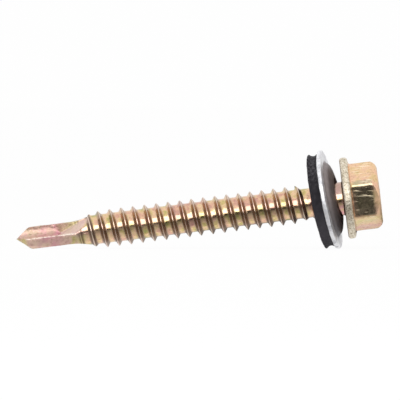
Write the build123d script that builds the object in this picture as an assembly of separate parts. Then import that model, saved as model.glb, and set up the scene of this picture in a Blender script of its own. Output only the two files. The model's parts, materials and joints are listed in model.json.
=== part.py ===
from build123d import *
import math
import os

# Self drilling screw with a domed sealing washer, lying on a flat surface as it comes to rest.
# The screw is one cold forged piece: drill point, rolled thread, plain neck, round flange and
# hexagon. The washer is a pressed metal ring with a rubber ring bonded under it, loose on the neck.
#
# The screw is drawn along its own axis first: the tip of the drill point is at zero and the head
# is at the positive end of Z. X then points down and minus Y towards the viewer once it lies.
# Lying, the screw runs along X with its head at the positive end, and the floor is at Z = 0.

# Length along the screw, measured from the tip of the drill point
shank_length = 50.8
thread_start = 9.77
thread_end = 45.15
neck_start = 45.75
neck_blend = 0.3

# Thread, right-handed
pitch = 25.4 / 14
thread_diameter = 5.9
core_diameter = 4.52
root_width = 0.86
thread_lead_in = (0.1, 0.45)
thread_last = 0.02
thread_fade = 0.7
core_step = 0.01

# Neck, flange and hexagon
neck_diameter = 5.16
flange_diameter = 12.5
flange_edge = 1.2
flange_chamfer = 0.3
flange_cone = 0.12
across_flats = 9.25
hex_height = 4.42
hex_corner_radius = 0.7
hex_crown_length = 1.0
hex_crown_depth = 0.95
hex_crown_bulge = 0.14
hex_turn = 6.0

# Drill point
drill_diameter = 4.9
cone_angle = 115.0
wedge_angle = 76.0
wedge_turn = -6.0
web_thickness = 1.64
flute_radius = 1.38
flute_direction = 58.3
flute_length = 6.5
ramp_depth = 0.6
ramp_angle = 19.6
ramp_turn = -16.5
land_thickness = 3.44
land_length = 8.1
land_runout_radius = 9.0
land_bend = 30.0
drill_neck_start = 9.4
drill_neck_end = 10.4

# How far the cutters of the point start in front of the tip
cutter_start = 1.0

# Metal ring of the washer
washer_diameter = 15.4
washer_thickness = 0.62
washer_chamfer = 0.12
dome_diameter = 11.7
dome_rise = 1.2
dome_steps = ((0.84, 0.49), (0.49, 0.79))
seat_steps = ((0.66, 0.64),)
washer_play = 0.5

# Rubber ring of the washer
rubber_diameter = 14.7
rubber_thickness = 1.62
rubber_waist = 0.32
rubber_waist_width = 0.5
rubber_play = 0.44
rubber_recess = 0.55

# How the loose washer leans on the neck
washer_gap = 2.55
washer_lift = 0.12
washer_pitch = 4.25
washer_turn = 6.5

# Radii and places worked out from the sizes above
core_radius = core_diameter / 2
thread_radius = thread_diameter / 2
neck_radius = neck_diameter / 2
flange_radius = flange_diameter / 2
drill_radius = drill_diameter / 2
washer_hole_radius = neck_radius + washer_play
rubber_hole_radius = neck_radius + rubber_play
washer_place = shank_length - washer_gap

# The thread starts on the viewer's side, and its ridge grows to full height over the first turns
thread_turns = math.ceil((thread_end - thread_start) / pitch)
thread_growth = [*thread_lead_in, *[1.0] * (thread_turns - len(thread_lead_in)), thread_last]
full_crest = thread_start + (len(thread_lead_in) + 1 / 4) * pitch


def turned(points):
    """A solid of revolution about Z from its outline, given as radius and height."""
    return revolve(Plane.XZ * make_face(Polyline(*points, close=True)), Axis.Z)


def drill_bar():
    """The round bar of the drill point, which runs a little way up inside the thread."""
    cone_length = drill_radius / math.tan(math.radians(cone_angle / 2))
    inside = core_radius - core_step
    return turned(
        [
            (0, 0),
            (drill_radius, cone_length),
            (drill_radius, drill_neck_start),
            (inside, drill_neck_end),
            (inside, thread_start + pitch),
            (0, thread_start + pitch),
        ]
    )


def neck_bar():
    """The plain neck, from inside the end of the thread up into the flange."""
    inside = core_radius - core_step
    root = shank_length + flange_edge / 2
    last_turn = thread_start + (thread_turns - 1) * pitch
    bar = turned(
        [
            (0, last_turn),
            (inside, last_turn),
            (inside, neck_start),
            (neck_radius, neck_start + neck_blend),
            (neck_radius, root),
            (0, root),
        ]
    )
    return bar


def flute_cutter():
    """A round bar along the point, cut off by the flat ramp on which the flute runs out."""
    runout = (core_radius - ramp_depth) / math.tan(math.radians(ramp_angle))
    length = flute_length + runout
    bar = extrude(Circle(flute_radius), length + cutter_start)
    bar = Pos(X=web_thickness / 2 + flute_radius, Z=-cutter_start) * bar
    stock = Box(length, length, 2 * length, align=(Align.MAX, Align.CENTER, Align.CENTER))
    return bar - Rot(Z=ramp_turn) * Pos(X=ramp_depth, Z=flute_length) * Rot(Y=ramp_angle) * stock


def land_cutter():
    """The stock outside one of the two flat lands of the point, with a curved run-out."""
    half = land_thickness / 2
    outside = drill_diameter
    flat = Line((half, -cutter_start), (half, land_length))
    bend = JernArc(flat @ 1, (0, 1), land_runout_radius, -land_bend)
    rest = Polyline(bend @ 1, (outside, (bend @ 1).Y), (outside, -cutter_start), flat @ 0)
    side = make_face(flat + bend + rest)
    return extrude(Plane.XZ * side, drill_diameter, both=True)


def end_cutter():
    """The stock outside the two end facets, which meet in an edge across the tip."""
    length = drill_diameter
    half = length * math.tan(math.radians(wedge_angle / 2))
    wedge = make_face(Polyline((0, 0), (half, length), (-half, length), close=True))
    block = Rectangle(4 * half, 2 * length) - wedge
    return extrude(Plane.XZ * block, drill_diameter, both=True)


def drill_cuts():
    """All that is pressed away at the point, where the flutes and lands repeat half a turn on."""
    cuts = [Rot(Z=wedge_turn) * end_cutter()]
    for half_turn in (0, 180):
        cuts.append(Rot(Z=half_turn) * land_cutter())
        cuts.append(Rot(Z=half_turn + flute_direction) * flute_cutter())
    return cuts


def thread_line(offset, turn, height):
    """One turn of a line of the thread, as its height over the core grows or fades.

    The offset is measured along the screw from the lower foot of the ridge.
    """
    first = height * thread_growth[turn]
    last = height * thread_growth[turn + 1]
    lean = math.atan((last - first) / pitch)
    base = thread_start - root_width / 2 + turn * pitch + offset
    line = Helix(
        pitch / math.cos(lean),
        pitch,
        core_radius + first,
        center=(0, 0, base),
        cone_angle=math.degrees(lean),
    )
    return line.edge()


def threaded_bar():
    """The core with its thread as one skin: two flanks and the root between them, turn by turn."""
    height = thread_radius - core_radius
    lines = [(0, 0), (root_width / 2, height), (root_width, 0), (pitch, 0)]
    skin = []
    for turn in range(thread_turns):
        edges = [thread_line(offset, turn, raised) for offset, raised in lines]
        skin += [Face.make_surface_from_curves(a, b) for a, b in zip(edges, edges[1:])]

    # Each end is closed by a screw surface down to the axis and the flat step beside it
    for turn in (0, thread_turns):
        base = thread_start - root_width / 2 + turn * pitch
        middle = Edge.make_line((0, 0, base), (0, 0, base + pitch))
        rim = Helix(pitch, pitch, core_radius, center=(0, 0, base)).edge()
        skin.append(Face.make_surface_from_curves(middle, rim))
        step = [
            (core_radius + raised * thread_growth[turn], 0, base + offset) for offset, raised in lines
        ]
        outline = Polyline((0, 0, base), *step, (0, 0, base + pitch), close=True)
        skin.append(Face(Wire(outline.edges())))
    return Rot(Z=-90) * Solid(Shell(skin))


def thread_end_cutter():
    """The ring that rounds off the last part of the thread next to the neck."""
    reach = thread_end + pitch
    return turned(
        [
            (thread_radius, thread_end - thread_fade),
            (thread_radius + thread_fade, thread_end - thread_fade),
            (thread_radius + thread_fade, reach),
            (core_radius + core_step, reach),
            (core_radius + core_step, thread_end),
        ]
    )


def hexagon_head():
    """The round flange and the hexagon above it, with its rounded corners and crown."""
    flange = turned(
        [
            (0, 0),
            (flange_radius, 0),
            (flange_radius, flange_edge),
            (across_flats / 2, flange_edge + flange_cone),
            (0, flange_edge + flange_cone),
        ]
    )
    rim = flange.edges().filter_by(GeomType.CIRCLE).sort_by(SortBy.RADIUS)[-2:]
    flange = chamfer(rim, flange_chamfer)

    outline = RegularPolygon(across_flats / 2, 6, major_radius=False, rotation=hex_turn)
    outline = fillet(outline.vertices(), hex_corner_radius)
    base = flange_edge + flange_cone / 2
    top = flange_edge + hex_height
    prism = Pos(Z=base) * extrude(outline, top - base)
    corner = across_flats / math.sqrt(3) - hex_corner_radius * (2 / math.sqrt(3) - 1)
    crown = turned(
        [
            (0, 0),
            (corner, 0),
            (corner, top - hex_crown_length),
            (corner - hex_crown_depth / 2 + hex_crown_bulge, top - hex_crown_length / 2 + hex_crown_bulge),
            (corner - hex_crown_depth, top),
            (0, top),
        ]
    )
    return Pos(Z=shank_length) * (flange + (prism & crown))


def screw():
    """The whole screw, drawn along Z."""
    bar = drill_bar() + threaded_bar() - thread_end_cutter() + neck_bar()
    for cut in drill_cuts():
        bar -= cut
    return bar + hexagon_head()


def dished(foot, start, steps):
    """A dished side from the foot of the dome to the hole, as radius and height."""
    width = foot - washer_hole_radius
    rounds = [(foot - width * (1 - out), start + dome_rise * up) for out, up in steps]
    return [(foot, start), *rounds, (washer_hole_radius, start + dome_rise)]


def metal_washer():
    """The pressed metal ring: flat rim, domed middle, one thickness all over."""
    rim = washer_diameter / 2
    foot = dome_diameter / 2
    top = dished(foot, washer_thickness, dome_steps)
    under = dished(foot - washer_thickness / 2, 0, seat_steps)
    ring = turned([(rim, 0), (rim, washer_thickness), *top, *reversed(under)])
    edges = ring.edges().filter_by(GeomType.CIRCLE).sort_by(SortBy.RADIUS)[-2:]
    return chamfer(edges, washer_chamfer)


def rubber_seal():
    """The rubber ring bonded under the metal one, with a waisted rim and a shallow recess."""
    rim = rubber_diameter / 2
    foot = dome_diameter / 2 - washer_thickness / 2
    top = dished(foot, 0, seat_steps)
    middle = rubber_thickness / 2
    waist = [
        (rim, -rubber_thickness),
        (rim - rubber_waist, -middle - rubber_waist_width / 2),
        (rim - rubber_waist, -middle + rubber_waist_width / 2),
        (rim, 0),
    ]
    inner = [(rubber_hole_radius, dome_rise), (rubber_hole_radius, rubber_recess - rubber_thickness)]
    return turned([*waist, *top, *inner, (foot, -rubber_thickness)])


def lowest_points(slope):
    """Heights over the floor of what may touch it, with the tip of the point at zero height.

    The first list is the tip end, the second the head end, for a screw that rises by slope.
    """
    rise = math.sin(slope)
    level = math.cos(slope)
    half = land_thickness / 2
    side = math.radians(flute_direction)
    flute_centre = web_thickness / 2 + flute_radius
    depth = flute_radius**2 - (half - flute_centre * math.cos(side)) ** 2
    edge = flute_centre * math.sin(side) - math.sqrt(max(depth, 0))
    turn = math.radians(wedge_turn)
    heel = (half * math.cos(turn) + edge * math.sin(turn)) / math.tan(math.radians(wedge_angle / 2))
    front = [heel * rise - half * level, full_crest * rise - thread_radius * level]

    lean = math.cos(math.radians(washer_turn)) * math.sin(math.radians(washer_pitch) + slope)
    spread = math.sqrt(1 - lean**2)
    centre = washer_place * rise + washer_lift * level
    metal = washer_diameter / 2 * spread - washer_chamfer * lean
    rubber = rubber_thickness * lean + rubber_diameter / 2 * spread
    flange = shank_length * rise - flange_radius * level
    return front, [centre - metal, centre - rubber, flange]


def resting_slope():
    """The slope at which tip end and head end both touch the floor, found by halving."""
    flat = 0.0
    steep = math.pi / 4
    for _ in range(40):
        slope = (flat + steep) / 2
        front, back = lowest_points(slope)
        if min(back) > min(front):
            steep = slope
        else:
            flat = slope
    return slope


def assembly():
    """Each piece in its place, lying on the floor and centred over it."""
    leaning = Pos(X=-washer_lift, Z=washer_place) * Rot(Y=-washer_pitch) * Rot(X=washer_turn)
    pieces = {
        "screw": screw(),
        "metal_washer": leaning * metal_washer(),
        "rubber_seal": leaning * rubber_seal(),
    }
    lying = Rot(Y=90 - math.degrees(resting_slope()))
    pieces = {name: lying * piece for name, piece in pieces.items()}
    box = Compound(list(pieces.values())).bounding_box()
    shift = Pos(-box.center().X, -box.center().Y, -box.min.Z)
    return {name: shift * piece for name, piece in pieces.items()}


os.makedirs("parts", exist_ok=True)
for name, piece in assembly().items():
    export_step(piece, f"parts/{name}.step")
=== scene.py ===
import json
import math

import bmesh
import bpy
import numpy as np
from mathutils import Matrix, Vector


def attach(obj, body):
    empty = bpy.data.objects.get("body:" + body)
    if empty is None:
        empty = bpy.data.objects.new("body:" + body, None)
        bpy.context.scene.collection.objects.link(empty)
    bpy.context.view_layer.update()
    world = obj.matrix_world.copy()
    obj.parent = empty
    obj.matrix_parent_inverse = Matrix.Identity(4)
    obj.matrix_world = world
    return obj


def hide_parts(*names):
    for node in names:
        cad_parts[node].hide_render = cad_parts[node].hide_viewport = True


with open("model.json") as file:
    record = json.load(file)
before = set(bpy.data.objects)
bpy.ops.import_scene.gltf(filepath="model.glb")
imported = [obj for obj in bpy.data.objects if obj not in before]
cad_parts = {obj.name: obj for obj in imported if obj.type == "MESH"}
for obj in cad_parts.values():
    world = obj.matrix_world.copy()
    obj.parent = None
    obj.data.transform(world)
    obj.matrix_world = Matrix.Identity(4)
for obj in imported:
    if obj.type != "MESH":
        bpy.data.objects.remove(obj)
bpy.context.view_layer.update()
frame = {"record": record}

# A self drilling screw with its sealing washer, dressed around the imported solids.
#
# Shapes are worked out in millimetres in the screw's own places: x straight down from its axis,
# y towards the far side, and z along it, from the tip of the point to the head. An angle about
# the axis is 0 straight down and a quarter turn towards the far side.
MM = 0.001
TURN = 2 * math.pi

# Sizes, the same as the solids have: the whole screw
shank_length = 50.8
flange_edge = 1.2
flange_top = shank_length + flange_edge
hex_height = 4.42
screw_length = flange_top + hex_height

# The thread: a ridge on the core that grows over its first turns and fades over its last
pitch = 25.4 / 14
core_radius = 2.26
thread_radius = 2.95
thread_start = 9.77
thread_end = 45.15
thread_fade = 0.7
thread_growth = (0.1, 0.45, 1.0)
root_width = 0.86
crest_width = 0.08
foot_round = 0.1
upper_loss = 0.12

# The drill point, its two flats, and the wedge at its tip
drill_radius = 2.45
drill_neck = (9.4, 10.4)
cone_slope = math.tan(math.radians(57.5))
wedge_slope = math.tan(math.radians(38.0))
wedge_turn = math.radians(-6.0)
land_half = 1.72
upper_land_half = 1.56
land_length = 8.1
land_runout = 9.0
land_arc = 0.9

# The two flutes, half a turn apart, and the ramp and the shelf on which each runs out
FLUTES = (0, math.pi)
RAMP, SHELF = 1, 2
web_half = 0.82
flute_radius = 1.38
flute_direction = math.radians(58.3)
flute_length = 6.5
ramp_depth = 0.6
ramp_rise = math.tan(math.radians(19.6))
ramp_turn = math.radians(-16.5)
ramp_kick = 2
flute_end = flute_length + (core_radius - ramp_depth) / ramp_rise
shelf_depth = 0.95
shelf_start, shelf_full, shelf_end = 4.8, 7.2, 9.2
shelf_rise = 0.12
shelf_turn = math.radians(31.7)
floor_blend = 0.05
runout_blend = 0.1
runout = (7.4, 8.6, 11.8, 12.6)

# The lip that leans over each flute, and the bead along its edge
lip_angle = math.asin(flute_radius / (web_half + flute_radius))
lip_overhang = math.radians(4.9)
lip_reach = math.radians(12)
lip_end = flute_end - 1.9
lip_fade = 0.8
bead_depth = 0.08
bead_width = math.radians(0.5)
bead_start = 2

# Two small knocks on the upper side: a burr where the thread starts, and a bent crest
burr_height, burr_angle, burr_width = 0.24, math.pi - 0.05, 0.2
burr_place, burr_length = 11.5, 0.22
bent_crest = thread_start + 18.75 * pitch
bent_width, bent_length = 0.3, 0.4
bent_foot, bent_tip = 2.4, 2.85
bent_lift, bent_shift = 0.1, 0.32

# The neck, the flange and the hexagon with its rounded crown
neck_radius = 2.58
neck_start = 45.75
neck_blend = 0.3
neck_fillet = 0.25
flange_radius = 6.25
flange_round = 0.42
flange_rise = 0.1
hex_flat = 4.625
hex_corner_round = 0.7
hex_turn = math.radians(6.0)
hex_fillet = 0.3
crown_radii = (5.3, 4.95, 4.2)
crown_heights = (55.2, 56.1, 56.36)
crown_sag = 0.06

# How the grids are divided: shares of a length, places along the screw, or counts
columns_around = 181
beside_lip = np.radians((-0.03, 0.03, 0.6, 1.3))
tip_shares = (0, 0.04, 0.12, 0.24, 0.36, 0.48, 0.6, 0.72, 0.84, 0.94, 1)
flank_start, flank_end, flank_rows, level_rows = 1.0, 6.4, 16, 26
helix_start, helix_end = 9.2, 45.35
across_ridge = (
    -0.5 * pitch, -0.68, -0.55, -0.46, -0.38, -0.25, -0.11, -0.04,
    0.04, 0.11, 0.25, 0.38, 0.46, 0.55, 0.68,
)
neck_heights = (
    helix_end, 45.55, 45.7, 45.76, 45.82, 45.9, 45.98, 46.04, 46.1,
    46.3, 46.7, 47.3, 48.1, 49.2, shank_length - neck_fillet,
)
underside_radii = (3.3, 3.9, 4.5, 5.1, 5.6)
end_face_radii = (3.9, 3.5, 3.0, 2.4, 1.8, 1.2, 0.6, 0)
neck_rounds, rim_rounds, foot_rounds = 5, 6, 5
crown_points, flat_rows, crown_rows = 60, 9, 8
ring_columns = 216

# Mesh making: merging, what counts as a crease, and the make-up of the noise
merge_reach, sliver = 0.002, 0.0005
crease = math.radians(38.0)
wave_count, mean_direction = 16, 1.7
grazing, grazing_flat = 0.05, 1e-3


def unit(vector):
    """A direction of length one."""
    return np.array(vector) / np.linalg.norm(vector)


# Where the two loose halves of the part lie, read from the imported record
mounts = {mount["name"]: mount for mount in frame["record"]["mounts"]}
spin = frame["record"]["behaviour"]["joints"][0]
screw_axis = unit(mounts["head_end"]["axis"])
screw_lean = math.asin(screw_axis[2])
down = np.array([screw_axis[2], 0.0, -screw_axis[0]])
away = np.cross(screw_axis, down)
tip = np.array(mounts["head_end"]["pos_m"]) - screw_axis * screw_length * MM
washer_axis = unit(spin["axis"])
side_axis = unit(np.cross(washer_axis, (0.0, 0.0, 1.0)))
upper_axis = np.cross(side_axis, washer_axis)
washer_centre = np.array(spin["pos_m"])


def along_screw(p):
    """From places along the screw in mm to the world in metres."""
    x, y, z = p[:, :1], p[:, 1:2], p[:, 2:]
    return tip + MM * (x * down + y * away + z * screw_axis)


def along_washer(p):
    """From places on the washer in mm to the world in metres: x sideways, y up, z its axis."""
    x, y, z = p[:, :1], p[:, 1:2], p[:, 2:]
    return washer_centre + MM * (x * side_axis + y * upper_axis + z * washer_axis)


def ripple(points, size, seed):
    """Smooth noise with a spread of about one: the sum of sixteen sine waves of random direction
    and phase, each about size mm long, divided by the root of half their number."""
    rng = np.random.default_rng(seed)
    waves = rng.normal(size=(wave_count, 3)) * TURN / size / mean_direction
    phases = rng.uniform(0, TURN, wave_count)
    return np.sin(points @ waves.T + phases).sum(axis=1) / math.sqrt(wave_count / 2)


def bump_at(value, middle, width):
    """A smooth hill of height one."""
    return np.exp(-(((value - middle) / width) ** 2))


def step_at(value, start, end):
    """Nothing up to start, one from end on, with a straight line between."""
    return np.clip((value - start) / (end - start), 0, 1)


def band(value, start, full, fading, end):
    """Nothing up to start, one from full to fading, nothing from end on, in straight lines."""
    return step_at(value, start, full) * step_at(value, end, fading)


def lattice(x, y, z):
    """A grid of points, rows by columns, as vertices and the quads between neighbours."""
    rows, columns = x.shape
    index = np.arange(rows * columns).reshape(rows, columns)
    quads = np.stack([index[:-1, :-1], index[:-1, 1:], index[1:, 1:], index[1:, :-1]], axis=-1)
    return np.stack([x, y, z], axis=-1).reshape(-1, 3), quads.reshape(-1, 4)


def add_object(name, data):
    """A new object at the origin, linked to the scene."""
    made = bpy.data.objects.new(name, data)
    bpy.context.collection.objects.link(made)
    return made


def closed_mesh(name, grids, to_world, body, node, worn, marks):
    """One closed piece from grids whose borders meet: equal points become one, so seams and
    poles close, then each point moves along its normal by the ripples in worn. The marks are
    values that the materials read at each point."""
    points, faces, count = [], [], 0
    for x, y, z in grids:
        grid_points, grid_faces = lattice(x, y, z)
        points.append(grid_points)
        faces.append(grid_faces + count)
        count += len(grid_points)
    mesh = bpy.data.meshes.new(name)
    mesh.from_pydata(np.concatenate(points).tolist(), [], np.concatenate(faces).tolist())
    work = bmesh.new()
    work.from_mesh(mesh)
    bmesh.ops.remove_doubles(work, verts=work.verts, dist=merge_reach)
    bmesh.ops.dissolve_degenerate(work, edges=work.edges, dist=sliver)
    bmesh.ops.recalc_face_normals(work, faces=work.faces)
    work.to_mesh(mesh)
    work.free()
    place = np.empty(len(mesh.vertices) * 3)
    normal = np.empty_like(place)
    mesh.vertices.foreach_get("co", place)
    mesh.vertex_normals.foreach_get("vector", normal)
    place, normal = place.reshape(-1, 3), normal.reshape(-1, 3)
    for height, size, seed, share in worn:
        moved = height * ripple(place, size, seed) * share(place)
        place = place + normal * moved[:, None]
    for mark, share in marks.items():
        attribute = mesh.attributes.new(mark, "FLOAT", "POINT")
        attribute.data.foreach_set("value", share(place).astype(np.float32))
    mesh.vertices.foreach_set("co", to_world(place).ravel())
    mesh.update()
    mesh.shade_smooth()
    mesh.set_sharp_from_angle(angle=crease)
    piece = add_object(name, mesh)
    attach(piece, body)
    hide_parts(node)
    return piece


# The screw
def turn_of(angle):
    """How far round an angle is, in turns, from where the thread is counted."""
    return angle / TURN + 1 / 4


def nearest_ridge(angle, z):
    """How many turns of thread lie below a place, how far past the nearest ridge it is in mm,
    less than nothing on the side of the point, and how many turns along that ridge is there."""
    turns = (z - thread_start) / pitch - turn_of(angle)
    nearest = np.round(turns)
    return turns, (turns - nearest) * pitch, nearest + turn_of(angle)


def thread_height(angle, z):
    """Height of the ridge over the core: a triangle across the thread with a narrow crest and
    a filleted foot, whose size grows over the first turns and fades at the last. On the upper
    side it is a little lower, by the square of how far up it faces."""
    _, side, along = nearest_ridge(angle, z)
    last = (thread_end - thread_start) / pitch
    turns = (-0.25, 0, 1, 2, last - 1, last + 0.5)
    growth = np.interp(along, turns, (0, *thread_growth, 1.0, 0.0))
    full = thread_radius - core_radius
    steepness = full / ((root_width - crest_width) / 2)
    ridge = full - steepness * np.maximum(np.abs(side) - crest_width / 2, 0)
    ridge = (ridge + np.sqrt(ridge**2 + foot_round**2)) / 2
    ridge = ridge * full / ((full + math.sqrt(full**2 + foot_round**2)) / 2)
    return ridge * growth * (1 - upper_loss * np.clip(-np.cos(angle), 0, 1) ** 2)


def bar_radius(angle, z):
    """The round bar: point, drill neck, core with thread, then the plain neck. A cone takes the
    thread down at its end."""
    bar = np.interp(z, (0, *drill_neck), (drill_radius, drill_radius, core_radius))
    left = thread_end - thread_fade - z
    cone = thread_radius + left * (thread_radius - core_radius) / thread_fade
    ridge = np.minimum(thread_height(angle, z), np.maximum(cone - core_radius, 0))
    threaded = np.where(z > thread_start - root_width, core_radius + ridge, 0)
    neck = np.interp(z, (neck_start, neck_start + neck_blend), (core_radius, neck_radius))
    return np.maximum.reduce([bar, threaded, neck])


def from_flute(angle, flute):
    """Angle from the middle of one of the two flutes, between minus and plus half a turn."""
    return (angle - flute_direction - flute + math.pi) % TURN - math.pi


def softer_of(first, second):
    """The larger of two heights, rounded over where they cross."""
    return (first + second + np.sqrt((first - second) ** 2 + floor_blend**2)) / 2


def flute_floor(angle, z, flute):
    """The three surfaces of one flute as distances from the axis along a ray, and where they
    count: the round bar of the flute, the ramp on which it runs out, and beside that a shelf.
    A ramp or shelf is a plane, so its distance is divided by the cosine of the ray's turn."""
    centre = web_half + flute_radius
    off = from_flute(angle, flute)
    under = flute_radius**2 - (centre * np.sin(off)) ** 2
    bar = centre * np.cos(off) - np.sqrt(np.maximum(under, 0))
    ramp = ramp_depth + (z - flute_length) * ramp_rise + np.maximum(z - flute_end, 0) * ramp_kick
    ramp = ramp / np.maximum(np.cos(off - ramp_turn), grazing)
    shelf = shelf_depth * step_at(z, shelf_start, shelf_full)
    shelf = shelf + shelf_rise * np.maximum(z - shelf_end, 0)
    shelf = shelf / np.maximum(np.cos(off - shelf_turn), grazing)
    return bar, ramp, shelf, (under > 0) & (np.cos(off) > 0)


def pressed_radius(angle, z):
    """What the flats and flutes leave: a ray from the axis ends where it meets the nearest.
    A flat is a plane that bends out along an arc."""
    bent = np.clip(z - land_length, 0, land_runout * land_arc)
    rest = np.sqrt(land_runout**2 - bent**2)
    thick = np.where(np.cos(angle) > 0, land_half, upper_land_half)
    least = (thick + land_runout - rest) / np.maximum(np.abs(np.cos(angle)), grazing_flat)
    for flute in FLUTES:
        bar, ramp, shelf, hit = flute_floor(angle, z, flute)
        cut = softer_of(softer_of(bar, ramp), shelf)
        least = np.where(hit, np.minimum(least, cut), least)
    return least


def screw_radius(angle, z):
    """Distance from the axis to the skin of the screw below its head: the nearer of bar and
    pressings, with the edge between them rounded over where the flutes run out."""
    bar, pressed = bar_radius(angle, z), pressed_radius(angle, z)
    blend = runout_blend * band(z, *runout)
    return (bar + pressed - np.sqrt((bar - pressed) ** 2 + blend**2)) / 2


def lipped(angle, radius, z):
    """The bright edge beside each flute: its points turn over the flute, most at the edge and
    less up to lip_reach from it, and a narrow bead runs along it."""
    for flute in FLUTES:
        past = from_flute(angle, flute) - lip_angle
        near = (past > 0) * np.clip(1 - past / lip_reach, 0, 1)
        near = near * np.clip((lip_end - z) / lip_fade, 0, 1)
        bead = bead_depth * bump_at(past, 0, bead_width) * (near > 0)
        radius = radius - bead * np.clip(z / bead_start, 0, 1)
        angle = angle - lip_overhang * near
    return angle, radius


def battered(angle, radius, z):
    """Two small knocks on the upper side, each a smooth hill around its place: a burr where the
    flat runs out into the thread, and one crest near the neck that is bent to the point."""
    burr = bump_at(angle, burr_angle, burr_width) * bump_at(z, burr_place, burr_length)
    radius = radius + burr_height * burr
    bent = bump_at(angle, math.pi, bent_width) * bump_at(z, bent_crest, bent_length)
    bent = bent * step_at(radius, bent_foot, bent_tip)
    return angle, radius + bent_lift * bent, z - bent_shift * bent


def polar(angle, radius, z):
    """From angle, radius and height to x, y and z."""
    return radius * np.cos(angle), radius * np.sin(angle), z * np.ones_like(angle)


# The columns of the screw's grids: even all round, and closer on both sides of each lip
columns = [np.linspace(0, TURN, columns_around)]
for flute in FLUTES:
    for side in (-1, 1):
        lip = (flute_direction + flute + side * lip_angle) % TURN
        columns.append(lip + side * beside_lip)
around = np.sort(np.concatenate(columns))


def level(value):
    """The same radius or height in every column."""
    return np.full_like(around, value)


def stacked(rows):
    """Rows of radius and height as two arrays, rows by columns."""
    return np.array([radius for radius, z in rows]), np.array([z for radius, z in rows])


def point_grid():
    """The drill point: straight lines from the tip to where the end facets meet the flanks,
    then rows along the flanks, then level rows up to the thread."""
    across = np.maximum(np.abs(np.cos(around - wedge_turn)), grazing_flat)
    facet = np.minimum(cone_slope, wedge_slope / across)
    flank = screw_radius(around, level(flank_start))
    meet = flank / facet
    rows = [(flank * share, meet * share) for share in tip_shares]
    for share in np.linspace(0, 1, flank_rows)[1:]:
        z = meet + (flank_end - meet) * share
        rows.append((screw_radius(around, z), z))
    for z in np.linspace(flank_end, helix_start, level_rows)[1:]:
        rows.append((screw_radius(around, level(z)), level(z)))
    radius, height = stacked(rows)
    angle, radius = lipped(around[None, :] * np.ones_like(radius), radius, height)
    return polar(angle, radius, height)


def thread_grid():
    """The threaded length: rows follow the helix, and those past either end are held at it."""
    first = math.floor((helix_start - thread_start) / pitch) - 2
    last = math.ceil((helix_end - thread_start) / pitch) + 1
    steps = np.array([turn * pitch + side for turn in range(first, last) for side in across_ridge])
    angle = around[None, :] * np.ones((len(steps), 1))
    z = thread_start + pitch * turn_of(angle) + steps[:, None]
    z = np.clip(z, helix_start, helix_end)
    return polar(*battered(angle, screw_radius(angle, z), z))


def hexagon_radius(angle):
    """Polar radius of the hexagon: straight flats with rounded corners."""
    half_side = TURN / 12
    corner = np.abs((angle - hex_turn + half_side) % (TURN / 6) - half_side)
    centre = (hex_flat - hex_corner_round) / math.cos(half_side)
    flat = hex_flat / np.cos(half_side - corner)
    inside = np.sqrt(np.maximum(hex_corner_round**2 - (centre * np.sin(corner)) ** 2, 0))
    rounded = centre * np.cos(corner) + inside
    reach = centre + hex_corner_round * math.cos(half_side)
    touch = math.atan2(hex_corner_round / 2, reach)
    return np.where(corner < touch, rounded, flat)


def neck_part():
    """Rows of the neck, close together where it starts, and a quarter round into the flange."""
    rows = [(bar_radius(around, level(z)), level(z)) for z in neck_heights]
    for bend in np.linspace(0, math.pi / 2, neck_rounds)[1:]:
        radius = neck_radius + neck_fillet * (1 - math.cos(bend))
        z = shank_length - neck_fillet + neck_fillet * math.sin(bend)
        rows.append((level(radius), level(z)))
    return rows


def flange_part():
    """Rows of the flange: its underside, then a quarter round below and one above."""
    rows = [(level(radius), level(shank_length)) for radius in underside_radii]
    below, above = shank_length + flange_round, flange_top - flange_round
    for middle, start in ((below, -math.pi / 2), (above, 0)):
        for bend in np.linspace(start, start + math.pi / 2, rim_rounds):
            radius = flange_radius - flange_round * (1 - math.cos(bend))
            rows.append((level(radius), level(middle + flange_round * math.sin(bend))))
    return rows


def bent_run(share, first, middle, last):
    """A quadratic curve from first to last that leaves and arrives towards the middle."""
    return (1 - share) ** 2 * first + 2 * share * (1 - share) * middle + share**2 * last


def hexagon_part():
    """Rows over the flange: its sloping top, a quarter round at the foot of the hexagon, the
    flats up to where the crown cuts them in arcs, the crown's edge, and the end face, which
    sinks with the square of the radius."""
    hexagon = hexagon_radius(around)
    rows = []
    for share in (0.35, 0.7):
        radius = (flange_radius - flange_round) * (1 - share) + (hexagon + hex_fillet) * share
        rows.append((radius, level(flange_top + flange_rise * share)))
    for bend in np.linspace(0, math.pi / 2, foot_rounds):
        z = flange_top + flange_rise + hex_fillet * (1 - math.cos(bend))
        rows.append((hexagon + hex_fillet * (1 - math.sin(bend)), level(z)))
    share = np.linspace(0, 1, crown_points)
    crown_radius = bent_run(share, *crown_radii)
    crown_height = bent_run(share, *crown_heights)
    cut = np.interp(-hexagon, -crown_radius, share)
    shoulder = np.interp(cut, share, crown_height)
    start = flange_top + flange_rise + hex_fillet
    for part in np.linspace(0, 1, flat_rows)[1:]:
        rows.append((hexagon, start + (shoulder - start) * part))
    for part in np.linspace(0, 1, crown_rows)[1:]:
        on = cut + (1 - cut) * part
        rows.append((np.interp(on, share, crown_radius), np.interp(on, share, crown_height)))
    for radius in end_face_radii:
        z = screw_length - crown_sag * (radius / crown_radii[-1]) ** 2
        rows.append((level(radius), level(z)))
    return rows


def head_grid():
    """Neck, flange and hexagon: rows whose radius and height come from the profile."""
    radius, height = stacked(neck_part() + flange_part() + hexagon_part())
    return polar(around[None, :] * np.ones_like(radius), radius, height)


# Marks: how much of a colour, of wear, of painted shade and of painted highlight each place on a
# piece has, from none to one
def everywhere(p):
    """One all over."""
    return np.ones(len(p))


def on_the_head(p):
    """One on the flange and the hexagon, none below them."""
    return step_at(p[:, 2], shank_length - 0.1, shank_length + 0.1)


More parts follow.
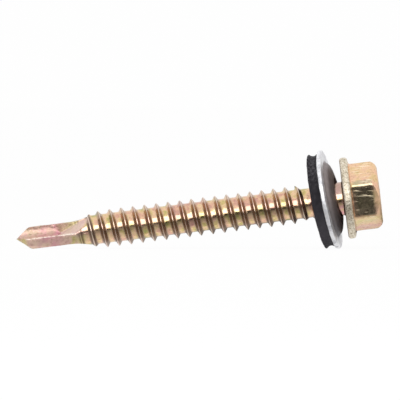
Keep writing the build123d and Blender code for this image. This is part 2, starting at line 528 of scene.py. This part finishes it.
def on_the_rim(p):
    """One on the forged rim of the flange."""
    return on_the_head(p) * step_at(np.hypot(p[:, 0], p[:, 1]), 5.3, 5.6)


def on_the_hexagon(p):
    """One on the head apart from its rim."""
    return on_the_head(p) * (1 - on_the_rim(p))


def on_the_neck(p):
    """One on the plain neck."""
    return band(p[:, 2], neck_start, neck_start + 1, shank_length - 0.2, shank_length)


def on_the_point(p):
    """One on the forged drill point, less towards the thread and on the tip."""
    return band(p[:, 2], 0.0, 0.6, 8.6, 10.0)


def dented_of_point(p):
    """Where the forging dies leave shallow dents: the drill point apart from its ramps."""
    return on_the_point(p) * step_at(p[:, 2], 8.2, 6.8)


def on_the_burrs(p):
    """One along the edges where flute and flat meet, which the forging dies leave ragged."""
    x, y, z = p.T
    angle = np.arctan2(y, x)
    burr = sum(bump_at(from_flute(angle, flute), -lip_angle - 0.05, 0.14) for flute in FLUTES)
    return burr * band(z, 1.6, 2.4, 7.4, 8.4)


def flute_part(p, which):
    """One on one of the two run-out surfaces of the flutes, the ramp or the shelf: inside the
    bar, and where this surface is the farthest from the axis."""
    x, y, z = p.T
    angle = np.arctan2(y, x)
    found = np.zeros(len(p))
    for flute in FLUTES:
        *heights, hit = flute_floor(angle, z, flute)
        inside = step_at(bar_radius(angle, z) - heights[which], -0.04, 0.16)
        others = np.maximum.reduce([h for k, h in enumerate(heights) if k != which])
        farthest = step_at(heights[which] - others, 0.0, 0.06)
        found = np.maximum(found, hit * inside * farthest)
    return found * band(z, 6.2, 6.8, 11.3, 11.6)


def painted_shade_of_screw(p):
    """Painted shade: one on the flanks of the thread and in the grooves beside them, none on its
    crests and on the plain lengths, and less on the lit upper half of the screw, most so on the
    flanks that face the point. The shelf, the underside of the flange and the top of the neck get
    some too."""
    x, y, z = p.T
    radius = np.hypot(x, y)
    _, side, along = nearest_ridge(np.arctan2(y, x), z)
    across = np.abs(side)
    first_turn = np.interp(along, (0, 1.2), (0.3, 1.0))
    groove = band(across, 0.03, 0.09, 0.44 * first_turn, 0.62 * first_turn)
    lit = step_at(-x, 0.9, 1.6) * step_at(across, 0.1, 0.2) * np.where(side < 0, 0.8, 0.45)
    threaded = step_at(along, -0.04, 0.06) * (z < thread_end) * (radius < thread_radius + 0.1)
    below = np.maximum(groove * (1 - lit) * threaded, 0.35 * flute_part(p, SHELF))
    past_neck = np.clip((radius - neck_radius) / 0.4, 0, 1)
    under_flange = np.clip((shank_length + 0.1 - z) / 0.1, 0, 1) * past_neck
    neck_top = 0.35 * step_at(-x, 0.6, 1.6) * step_at(z, neck_start, neck_start + 1)
    above = np.maximum(under_flange, neck_top * (z < shank_length))
    return np.where(z > neck_start, above, below)


def painted_first_turn_shade_of_screw(p):
    """Painted shade: one on the flanks of the first, low turns of the thread, which the material
    paints darker."""
    x, y, z = p.T
    turns, side, _ = nearest_ridge(np.arctan2(y, x), z)
    flank = band(np.abs(side), 0.05, 0.12, 0.3, 0.5)
    return flank * band(turns, -0.3, 0.1, 1.4, 2.6) * (1 - flute_part(p, RAMP))


def crest_of_screw(p):
    """One where the metal is palest: along the crest of the thread and on the flute's ramps."""
    x, y, z = p.T
    _, side, _ = nearest_ridge(np.arctan2(y, x), z)
    crest = step_at(np.abs(side), 0.1, 0.03) * band(z, 10.4, 10.8, thread_end - 0.3, thread_end)
    return np.maximum(crest, 0.8 * flute_part(p, RAMP))


def rough_of_screw(p):
    """How matt the plating is: the forged point, the rim and the crown more than the rest."""
    crown = 0.8 * step_at(p[:, 2], 55.3, 55.7)
    flats = 0.1 * on_the_hexagon(p)
    forged = [on_the_point(p), flute_part(p, RAMP), on_the_rim(p)]
    return np.maximum.reduce([*forged, crown, flats])


def pink_of_screw(p):
    """Where the plating turns pink: along the flutes, most halfway along the point, on the plain
    neck and on the lower edge of the head. Noise makes the band on the point drift."""
    x, y, z = p.T
    angle = np.arctan2(y, x)
    off = np.minimum(*(np.abs(from_flute(angle, flute)) for flute in FLUTES))
    in_flute = step_at(off, lip_angle + 0.15, lip_angle)
    ramp = flute_part(p, RAMP)
    drifting = z + (1 - 0.6 * in_flute) * ripple(p, 3.0, 18)
    halfway = bump_at(drifting, 5.9, 1.7) * (1 - ramp) * (0.55 + 0.45 * in_flute)
    flutes = 0.45 * in_flute * bump_at(drifting, 4.4, 2.6)
    neck = (0.5 + 0.3 * np.sign(x)) * on_the_neck(p)
    low_head = on_the_head(p) * step_at(x, 3.6, 4.6) * 0.5
    return np.maximum(halfway, flutes) + 0.22 * ramp + neck + low_head


def olive_of_screw(p):
    """Where the plating turns olive: on the flat before the thread starts, on the shelf beside
    the ramp, on the lower of the two end facets and on the lower sides of the head."""
    x, y, z = p.T
    drifting = z + 0.6 * ripple(p, 2.4, 19)
    land = bump_at(drifting, 8.8, 0.7) * step_at(np.abs(x), 0.2, 0.6)
    land = land * (1 - flute_part(p, RAMP))
    tip_side = step_at(z, 1.7, 1.2) * step_at(x, -0.1, 0.1)
    low_sides = on_the_hexagon(p) * np.interp(x, (2.4, 3.2, 3.7, 4.5), (0, 0.7, 0.7, 0.2))
    return np.clip(land + 0.65 * flute_part(p, SHELF) + tip_side + low_sides, 0, 1)


def dull_plating_and_painted_shade_of_screw(p):
    """Where the plating is painted duller: on the drill point, less on its ramps, as the point's
    own duller plating, and on the upper side of the neck as painted shade."""
    point = step_at(p[:, 2], 11.0, 9.6) * (1 - 0.6 * flute_part(p, RAMP))
    return point + on_the_neck(p) * step_at(-p[:, 0], 0.2, 1.0)


def painted_highlight_of_screw(p):
    """Painted highlight: one along the edge beside each flute, where the material paints a bright
    line.
    """
    x, y, z = p.T
    angle = np.arctan2(y, x)
    lip = lip_angle - lip_overhang + 0.015
    edge = sum(bump_at(from_flute(angle, flute), lip, 0.03) for flute in FLUTES)
    return edge * band(z, 1.2, 1.6, 8.8, 9.4)


def scraped_of_screw(p):
    """One on the sides of the hexagon, where drawing marks run along the screw."""
    return on_the_hexagon(p) * band(p[:, 2], 52.3, 52.6, 55.2, 55.6)


def painted_facet_shade_of_screw(p):
    """Painted shade: one on the two sides of the hexagon that face towards and away from the
    camera, painted duller and greener for the dark reflection that the side facing the camera
    shows.
    """
    return scraped_of_screw(p) * (np.abs(p[:, 1]) > 1.6 * np.abs(p[:, 0]))


# Worn: height of the ripples in mm, how long they are in mm, their seed, and where they are
screw = closed_mesh(
    "zinc_screw", [point_grid(), thread_grid(), head_grid()], along_screw,
    "fastener", "screw",
    worn=[
        (0.008, 1.6, 11, everywhere),
        (0.0045, 0.6, 17, everywhere),
        (0.004, 0.8, 12, on_the_head),
        (0.012, 3.2, 13, on_the_head),
        (0.012, 0.5, 15, on_the_rim),
        (0.012, 0.7, 14, dented_of_point),
        (0.05, 0.5, 16, on_the_burrs),
    ],
    marks={
        "painted_shade": painted_shade_of_screw,
        "painted_first_turn_shade": painted_first_turn_shade_of_screw,
        "painted_facet_shade": painted_facet_shade_of_screw,
        "rough": rough_of_screw,
        "pink": pink_of_screw,
        "olive": olive_of_screw,
        "dull_plating_and_painted_shade": dull_plating_and_painted_shade_of_screw,
        "scraped": scraped_of_screw,
        "edge": painted_highlight_of_screw,
        "crest": crest_of_screw,
        "pale": on_the_rim,
        "head": on_the_head,
    },
)


# The washer: a metal ring and a rubber ring, each a closed profile carried round its axis
def ring_grid(profile):
    """A profile of radius and height carried once around the axis of the washer."""
    profile = np.array([*profile, profile[0]])
    turn = np.linspace(0, TURN, ring_columns + 1)
    every = np.ones((len(profile), ring_columns + 1))
    return polar(turn * every, profile[:, :1] * every, profile[:, 1:] * every)


def smooth_run(corners, count):
    """A cubic curve from the first to the last of four corners, leaving and arriving along the
    two in the middle."""
    share = np.linspace(0, 1, count)[:, None]
    rest = 1 - share
    weights = (rest**3, 3 * rest**2 * share, 3 * rest * share**2, share**3)
    run = sum(weight * np.array(corner) for weight, corner in zip(weights, corners))
    return [tuple(row) for row in run.tolist()]


# Radius and height of each point: flat rim, rolled edge, rise of the dome, dome, and underside
metal_profile = [
    (5.2, 0.0), (6.2, 0.0), (7.0, 0.0), (7.5, 0.0), (7.63, 0.03), (7.69, 0.1), (7.7, 0.2),
    (7.7, 0.42), (7.69, 0.52), (7.63, 0.59), (7.5, 0.62), (7.1, 0.62), (6.6, 0.62),
    *smooth_run(((6.1, 0.62), (5.6, 0.62), (5.68, 1.16), (5.0, 1.36)), 10),
    *smooth_run(((4.9, 1.39), (4.4, 1.53), (3.8, 1.68), (3.35, 1.77)), 6),
    (3.15, 1.79), (3.08, 1.72), (3.08, 1.4), (3.3, 1.2), (4.2, 0.9),
]
# Underside, hollowed edge, the face against the metal ring, and the hole
rubber_profile = [
    (5.6, -1.62), (6.4, -1.62), (7.1, -1.62), (7.28, -1.6), (7.34, -1.53), (7.3, -1.44),
    (7.14, -1.26), (7.04, -1.06), (7.01, -0.86), (7.02, -0.66), (7.08, -0.46), (7.2, -0.26),
    (7.32, -0.1), (7.35, -0.01), (6.9, 0.0), (5.2, 0.0), (4.2, 0.86), (3.1, 1.1),
    (3.03, 0.4), (3.03, -0.6), (3.06, -1.05), (3.4, -1.1), (4.4, -1.36),
]


def painted_dome_shade_of_washer(p):
    """One on the dished middle of the metal ring, none on its flat rim, which the material paints
    dark
    grey: painted shade for the dark reflection of the flange's shaded underside.
    """
    return step_at(np.hypot(p[:, 0], p[:, 1]), 6.0, 5.86)


def painted_low_shade_and_light(p):
    """One on the lower part of the washer, none on the upper: the dome is painted darker there as
    painted shade, and the rubber lighter as painted light.
    """
    return step_at(p[:, 1], 0.0, -5.0)


def dust_of_rubber(p):
    """One on the upper part of the rubber, where a little dust lies, and a trace elsewhere."""
    return 0.1 + 0.9 * step_at(p[:, 1], 2.0, 5.0)


metal_ring = closed_mesh(
    "metal_ring", [ring_grid(metal_profile)], along_washer,
    "washer", "metal_washer",
    worn=[(0.01, 2.2, 21, everywhere), (0.006, 0.7, 22, everywhere)],
    marks={"dome": painted_dome_shade_of_washer, "low": painted_low_shade_and_light},
)
rubber_ring = closed_mesh(
    "rubber_ring", [ring_grid(rubber_profile)], along_washer,
    "washer", "rubber_seal",
    worn=[(0.012, 1.8, 31, everywhere), (0.008, 0.5, 32, everywhere)],
    marks={"dusty": dust_of_rubber, "low": painted_low_shade_and_light},
)

# Materials. The numbers are the places of a Mix node's colour inputs and of its result
MIX_SHARE, MIX_FIRST, MIX_SECOND, MIX_RESULT = 0, 6, 7, 2


def srgb(red, green, blue):
    """A colour given as 0 to 255 on screen, as Blender's linear numbers."""
    values = np.array([red, green, blue]) / 255
    linear = np.where(values <= 0.04045, values / 12.92, ((values + 0.055) / 1.055) ** 2.4)
    return (*linear.tolist(), 1.0)


def grey(value):
    """A grey, or a share from none to one, as a colour."""
    return (value, value, value, 1.0)


class Recipe:
    """The nodes of one material, group or sky, and short ways to add more. Where a value is
    asked for, it is a number, a colour, or what another node puts out."""

    def __init__(self, tree):
        self.tree = tree

    def feed(self, node, values):
        """Gives the inputs of a node, by name or number, their values."""
        for name, value in values.items():
            if isinstance(value, bpy.types.NodeSocket):
                self.tree.links.new(value, node.inputs[name])
            else:
                node.inputs[name].default_value = value

    def node(self, kind, values):
        """A new node with its inputs fed."""
        made = self.tree.nodes.new("ShaderNode" + kind)
        self.feed(made, values)
        return made

    def maths(self, kind, *values, clamp=True):
        """One step of arithmetic, kept between none and one."""
        made = self.tree.nodes.new("ShaderNodeMath")
        made.operation = kind
        made.use_clamp = clamp
        self.feed(made, dict(enumerate(values)))
        return made.outputs[0]

    def times(self, first, second):
        """The product of two values."""
        return self.maths("MULTIPLY", first, second)

    def plus(self, first, second):
        """The sum of two values."""
        return self.maths("ADD", first, second)

    def spread(self, value, low, high, to_low=0.0, to_high=1.0):
        """A value between low and high, carried to between two others."""
        ends = {"From Min": low, "From Max": high, "To Min": to_low, "To Max": to_high}
        return self.node("MapRange", {"Value": value, **ends}).outputs["Result"]

    def place(self):
        """Where a point of the piece is, in metres."""
        return self.tree.nodes.new("ShaderNodeTexCoord").outputs["Object"]

    def mark(self, name):
        """The value that a piece carries under a name."""
        made = self.tree.nodes.new("ShaderNodeAttribute")
        made.attribute_name = name
        return made.outputs["Fac"]

    def noise(self, place, scale, detail=3.0, rough=0.6):
        """Clouds of noise."""
        values = {"Vector": place, "Scale": scale, "Detail": detail, "Roughness": rough}
        return self.node("TexNoise", values).outputs["Fac"]

    def ramp(self, value, *stops):
        """Colours that change along a value, each stop a place on it and a colour."""
        made = self.node("ValToRGB", {"Fac": value})
        bands = made.color_ramp.elements
        bands[0].position, bands[0].color = stops[0]
        bands[1].position, bands[1].color = stops[-1]
        for position, colour in stops[1:-1]:
            bands.new(position).color = colour
        return made.outputs["Color"]

    def mixed(self, share, first, second, kind="MIX"):
        """Two colours mixed: all first where share is none, all second where it is one."""
        made = self.tree.nodes.new("ShaderNodeMix")
        made.data_type = "RGBA"
        made.blend_type = kind
        self.feed(made, {MIX_SHARE: share, MIX_FIRST: first, MIX_SECOND: second})
        return made.outputs[MIX_RESULT]

    def tinted(self, colour, mark, strength, tint):
        """A colour with a tint laid over it where the piece carries a mark."""
        return self.mixed(self.times(self.mark(mark), strength), colour, tint)

    def grained(self, shader, values):
        """The shared grain: it gives the shader its relief and hands on its clouds."""
        made = self.tree.nodes.new("ShaderNodeGroup")
        made.node_tree = grain_group
        self.feed(made, {"Relief": 1.0, "Marks": 0.0, **values})
        self.feed(shader, {"Normal": made.outputs["Normal"]})
        return made.outputs["Clouds"]


def make_grain_group():
    """The fine grain that every surface has: clouds of noise, and the relief that they give. The
    relief is clouds times Relief plus Marks, raised by Distance in metres."""
    group = bpy.data.node_groups.new("surface_grain", "ShaderNodeTree")
    numbers = ("Scale", "Detail", "Roughness", "Relief", "Marks", "Strength", "Distance")
    group.interface.new_socket("Place", in_out="INPUT", socket_type="NodeSocketVector")
    for name in numbers:
        group.interface.new_socket(name, in_out="INPUT", socket_type="NodeSocketFloat")
    group.interface.new_socket("Clouds", in_out="OUTPUT", socket_type="NodeSocketFloat")
    group.interface.new_socket("Normal", in_out="OUTPUT", socket_type="NodeSocketVector")
    make = Recipe(group)
    given = group.nodes.new("NodeGroupInput").outputs
    clouds = make.noise(given["Place"], given["Scale"], given["Detail"], given["Roughness"])
    height = make.maths("MULTIPLY_ADD", clouds, given["Relief"], given["Marks"], clamp=False)
    bump = make.node("Bump", {
        "Height": height, "Strength": given["Strength"], "Distance": given["Distance"],
    })
    handed_on = {"Clouds": clouds, "Normal": bump.outputs["Normal"]}
    make.feed(group.nodes.new("NodeGroupOutput"), handed_on)
    return group


grain_group = make_grain_group()


def new_material(name):
    """A new material, the recipe for its nodes, and its shader."""
    made = bpy.data.materials.new(name)
    made.use_nodes = True
    return made, Recipe(made.node_tree), made.node_tree.nodes["Principled BSDF"]


def zinc_gold():
    """Yellow zinc plating: gold and tan with drifting pink and olive tints, painted shade in
    grooves, a painted highlight along the edges of the flutes, smooth on the rolled thread and
    matt where the steel was forged."""
    made, make, shader = new_material("zinc_gold")
    place = make.place()
    drift = make.noise(place, 480.0, detail=4.0, rough=0.62)
    fine = make.noise(place, 2600.0)
    pits = make.noise(place, 3800.0)

    # The plating's own colours, from olive tan by gold to rose
    shank = make.ramp(
        drift,
        (0.32, srgb(172, 172, 108)),
        (0.41, srgb(216, 194, 132)),
        (0.49, srgb(240, 206, 166)),
        (0.58, srgb(228, 180, 156)),
        (0.68, srgb(200, 152, 144)),
    )
    head = make.ramp(drift, (0.35, srgb(244, 206, 162)), (0.65, srgb(246, 204, 174)))
    colour = make.tinted(shank, "head", 0.7, head)
    # Duller plating on the drill point, and painted shade on the upper side of the neck
    colour = make.tinted(colour, "dull_plating_and_painted_shade", 0.6, srgb(206, 181, 177))
    blush = make.ramp(drift, (0.38, grey(0.35)), (0.56, grey(1.0)))
    colour = make.mixed(make.times(make.mark("pink"), blush), colour, srgb(214, 150, 164))
    moss = make.ramp(drift, (0.42, grey(1.0)), (0.6, grey(0.5)))
    colour = make.mixed(make.times(make.mark("olive"), moss), colour, srgb(206, 195, 130))
    # Painted shade on the two hexagon sides that face towards and away from the camera
    colour = make.tinted(colour, "painted_facet_shade", 0.6, srgb(172, 172, 146))
    specks = make.ramp(fine, (0.32, (0.78, 0.75, 0.7, 1.0)), (0.5, grey(1.0)))
    colour = make.mixed(1.0, colour, specks, "MULTIPLY")

    # Drawing marks: noise drawn out along the screw
    drawn_out = make.node("Mapping", {
        "Vector": place, "Rotation": (0.0, screw_lean, 0.0), "Scale": (0.08, 1.0, 1.0),
    })
    drawn = make.noise(drawn_out.outputs["Vector"], 2400.0)
    scratch = make.ramp(drawn, (0.57, grey(0.0)), (0.66, grey(1.0)))
    scratch = make.times(scratch, make.mark("scraped"))
    colour = make.mixed(make.times(scratch, 0.6), colour, srgb(250, 236, 206))

    # The pale rim, the painted shade in the grooves, the pale crests and the painted highlight on
    # the edge of the flutes
    rim = make.ramp(
        pits,
        (0.34, srgb(160, 150, 126)),
        (0.48, srgb(218, 206, 184)),
        (0.62, srgb(244, 236, 220)),
    )
    colour = make.tinted(colour, "pale", 1.0, rim)
    # Painted shade: darker in the grooves, on the shelf, under the flange and on top of the neck
    colour = make.tinted(colour, "painted_shade", 1.0, srgb(162, 139, 121))
    # Painted shade on the flanks of the first, low turns of the thread
    colour = make.tinted(colour, "painted_first_turn_shade", 0.75, srgb(98, 74, 58))
    colour = make.tinted(colour, "crest", 0.7, srgb(232, 214, 208))
    # Painted highlight: a near-white line along the edge of each flute, broken by noise
    broken_highlight = make.ramp(fine, (0.36, grey(0.2)), (0.5, grey(1.0)))
    colour = make.mixed(make.times(make.mark("edge"), broken_highlight), colour, srgb(255, 244, 232))

    # Gloss: forged and scraped places are matt, and scratches show less of the metal
    rough = make.mark("rough")
    sheen = make.ramp(fine, (0.3, grey(0.12)), (0.7, grey(0.2)))
    matt = make.plus(make.times(rough, 0.34), make.times(scratch, 0.2))
    matt = make.plus(matt, make.times(make.mark("painted_shade"), 0.22))
    make.feed(shader, {
        "Base Color": colour,
        "Metallic": make.maths("SUBTRACT", 1.0, make.times(scratch, 0.65)),
        "Roughness": make.plus(sheen, matt),
    })
    make.grained(shader, {
        "Place": place, "Scale": 1500.0, "Detail": 4.0, "Roughness": 0.6,
        "Strength": 0.35, "Distance": 0.00006,
        "Relief": make.plus(0.3, rough), "Marks": make.times(scratch, 0.3),
    })
    return made


def bright_zinc():
    """Galvanised sheet: pale grey with fine clouds, and a dark grey painted shade on the pressed
    dome.
    """
    made, make, shader = new_material("bright_zinc")
    clouds = make.grained(shader, {
        "Place": make.place(), "Scale": 900.0, "Detail": 4.0, "Roughness": 0.65,
        "Strength": 0.2, "Distance": 0.00003,
    })
    sheet = make.ramp(
        clouds,
        (0.34, srgb(196, 196, 200)),
        (0.5, srgb(238, 238, 241)),
        (0.7, srgb(252, 252, 253)),
    )
    # Painted shade on the dome: dark grey, darker again on its lower part
    painted_dome_shade = make.ramp(clouds, (0.3, srgb(122, 113, 112)), (0.7, srgb(142, 132, 130)))
    painted_dome_shade = make.tinted(painted_dome_shade, "low", 1.0, srgb(100, 97, 100))
    dome = make.mark("dome")
    rough = make.ramp(clouds, (0.3, grey(0.45)), (0.7, grey(0.32)))
    make.feed(shader, {
        "Base Color": make.mixed(dome, sheet, painted_dome_shade),
        "Metallic": make.maths("SUBTRACT", 0.7, make.times(dome, 0.3)),
        "Roughness": make.plus(rough, make.times(dome, 0.1)),
    })
    return made


def black_rubber():
    """Cut rubber: nearly black and matt, with faint paler clouds, a little dust and painted light
    on its lower part.
    """
    made, make, shader = new_material("black_rubber")
    place = make.place()
    clouds = make.grained(shader, {
        "Place": place, "Scale": 900.0, "Detail": 5.0, "Roughness": 0.65,
        "Strength": 0.35, "Distance": 0.00005,
    })
    colour = make.ramp(clouds, (0.3, srgb(30, 28, 32)), (0.75, srgb(48, 46, 50)))
    # Painted light: the rubber lighter on its lower part
    colour = make.tinted(colour, "low", 0.6, srgb(78, 75, 80))
    dust = make.ramp(make.noise(place, 2400.0), (0.44, grey(0.0)), (0.82, grey(0.5)))
    dust = make.times(dust, make.mark("dusty"))
    make.feed(shader, {
        "Base Color": make.mixed(dust, colour, srgb(132, 130, 134)),
        "Roughness": 0.68,
        "Specular IOR Level": 0.1,
    })
    return made


screw.data.materials.append(zinc_gold())
metal_ring.data.materials.append(bright_zinc())
rubber_ring.data.materials.append(black_rubber())


# The floor, and a dark card on it that only reflections see
floor_reach = 3
card_height = 0.0005
card_hole, card_reach = (0.04, 0.0015), (0.7, 0.5)
corner_signs = ((-1, -1), (1, -1), (1, 1), (-1, 1))


def stage_piece(name, corners, faces, paint):
    """A flat stage piece, corners in metres."""
    mesh = bpy.data.meshes.new(name)
    mesh.from_pydata(corners, [], faces)
    mesh.materials.append(paint)
    made = add_object(name, mesh)
    return made


def floor_paint():
    """Pale matt floor that looks nearly white to the camera and in reflections, by a glow that
    only their rays see, and keeps a faint shadow."""
    made, make, shader = new_material("pale_floor")
    make.feed(shader, {"Base Color": grey(0.86), "Roughness": 0.9})
    rays = make.tree.nodes.new("ShaderNodeLightPath").outputs
    seen = make.maths("MAXIMUM", rays["Is Camera Ray"], rays["Is Glossy Ray"])
    glow = make.node("Emission", {"Strength": 1.0})
    blend = make.node("MixShader", {
        0: make.times(seen, 0.96), 1: shader.outputs[0], 2: glow.outputs[0],
    })
    make.feed(make.tree.nodes["Material Output"], {"Surface": blend.outputs[0]})
    return made


def card_paint():
    """The dark card gives the polished metal its dark lower bands: it glows palely along the
    screw, less with each millimetre away from it, and hardly from 20 mm on. Beside the head the
    pale middle is 3 mm wider on each side."""
    made, make, shader = new_material("dark_card")
    where = make.node("SeparateXYZ", {0: make.place()}).outputs
    wider = make.spread(where["X"], 0.012, 0.02, to_high=0.003)
    beside = make.maths("SUBTRACT", make.maths("ABSOLUTE", where["Y"]), wider)
    glow = make.ramp(
        make.spread(beside, 0.0, 0.02),
        (0.05, grey(0.85)), (0.2, grey(0.56)), (0.4, grey(0.35)), (0.7, grey(0.2)),
        (1.0, grey(0.06)),
    )
    make.feed(shader, {
        "Base Color": grey(0.0), "Roughness": 1.0, "Specular IOR Level": 0.0,
        "Emission Color": glow, "Emission Strength": 1.0,
    })
    return made


stage_piece(
    "floor",
    [(x * floor_reach, y * floor_reach, 0) for x, y in corner_signs],
    [(0, 1, 2, 3)],
    floor_paint(),
)
dark_card = stage_piece(
    "dark_card",
    [(sx * x, sy * y, card_height) for x, y in (card_hole, card_reach) for sx, sy in corner_signs],
    [(0, 4, 5, 1), (1, 5, 6, 2), (2, 6, 7, 3), (3, 7, 4, 0)],
    card_paint(),
)
dark_card.visible_camera = False
dark_card.visible_diffuse = False
dark_card.visible_shadow = False


# Light: a pale sky, one wide lamp in front and a soft sun
def studio_sky():
    """White to the camera, in reflections and through glass, and a plain weaker light for the
    rest."""
    world = bpy.data.worlds.new("studio")
    world.use_nodes = True
    make = Recipe(world.node_tree)
    rays = make.tree.nodes.new("ShaderNodeLightPath").outputs
    seen = make.maths("MAXIMUM", rays["Is Camera Ray"], rays["Is Glossy Ray"])
    seen = make.maths("MAXIMUM", seen, rays["Is Transmission Ray"])
    strength = make.spread(seen, 0.0, 1.0, to_low=0.55)
    make.feed(make.tree.nodes["Background"], {"Color": grey(1.0), "Strength": strength})
    return world


bpy.context.scene.world = studio_sky()

middle = (0.0, 0.0, 0.0075)
front = bpy.data.lights.new("front_box", "AREA")
front.shape = "RECTANGLE"
front.size, front.size_y = 0.7, 0.34
front.energy = 1.4
front_box = add_object("front_box", front)
front_box.location = (0.0, -0.57, 0.195)
facing = Vector(middle) - front_box.location
front_box.rotation_euler = facing.to_track_quat("-Z", "Y").to_euler()
front_box.visible_camera = False

sun = add_object("sun", bpy.data.lights.new("sun", "SUN"))
sun.data.energy = 1.3
sun.data.angle = math.radians(35)
sun.rotation_euler = (math.radians(20), math.radians(-12), 0.0)
sun.visible_glossy = False

# The camera, as far off as makes no matter, and tilted down as in the photograph
camera_tilt = math.radians(2.5)
camera_distance = 3.0
camera_rise = camera_distance * math.sin(camera_tilt)
camera = add_object("camera", bpy.data.cameras.new("camera"))
camera.data.type = "ORTHO"
camera.data.ortho_scale = 0.0616
camera.data.clip_end = 20.0
camera.location = (0.0, -camera_distance * math.cos(camera_tilt), middle[2] + camera_rise)
camera.rotation_euler = (math.pi / 2 - camera_tilt, 0.0, 0.0)
bpy.context.scene.camera = camera
bpy.context.scene.view_settings.view_transform = "Standard"
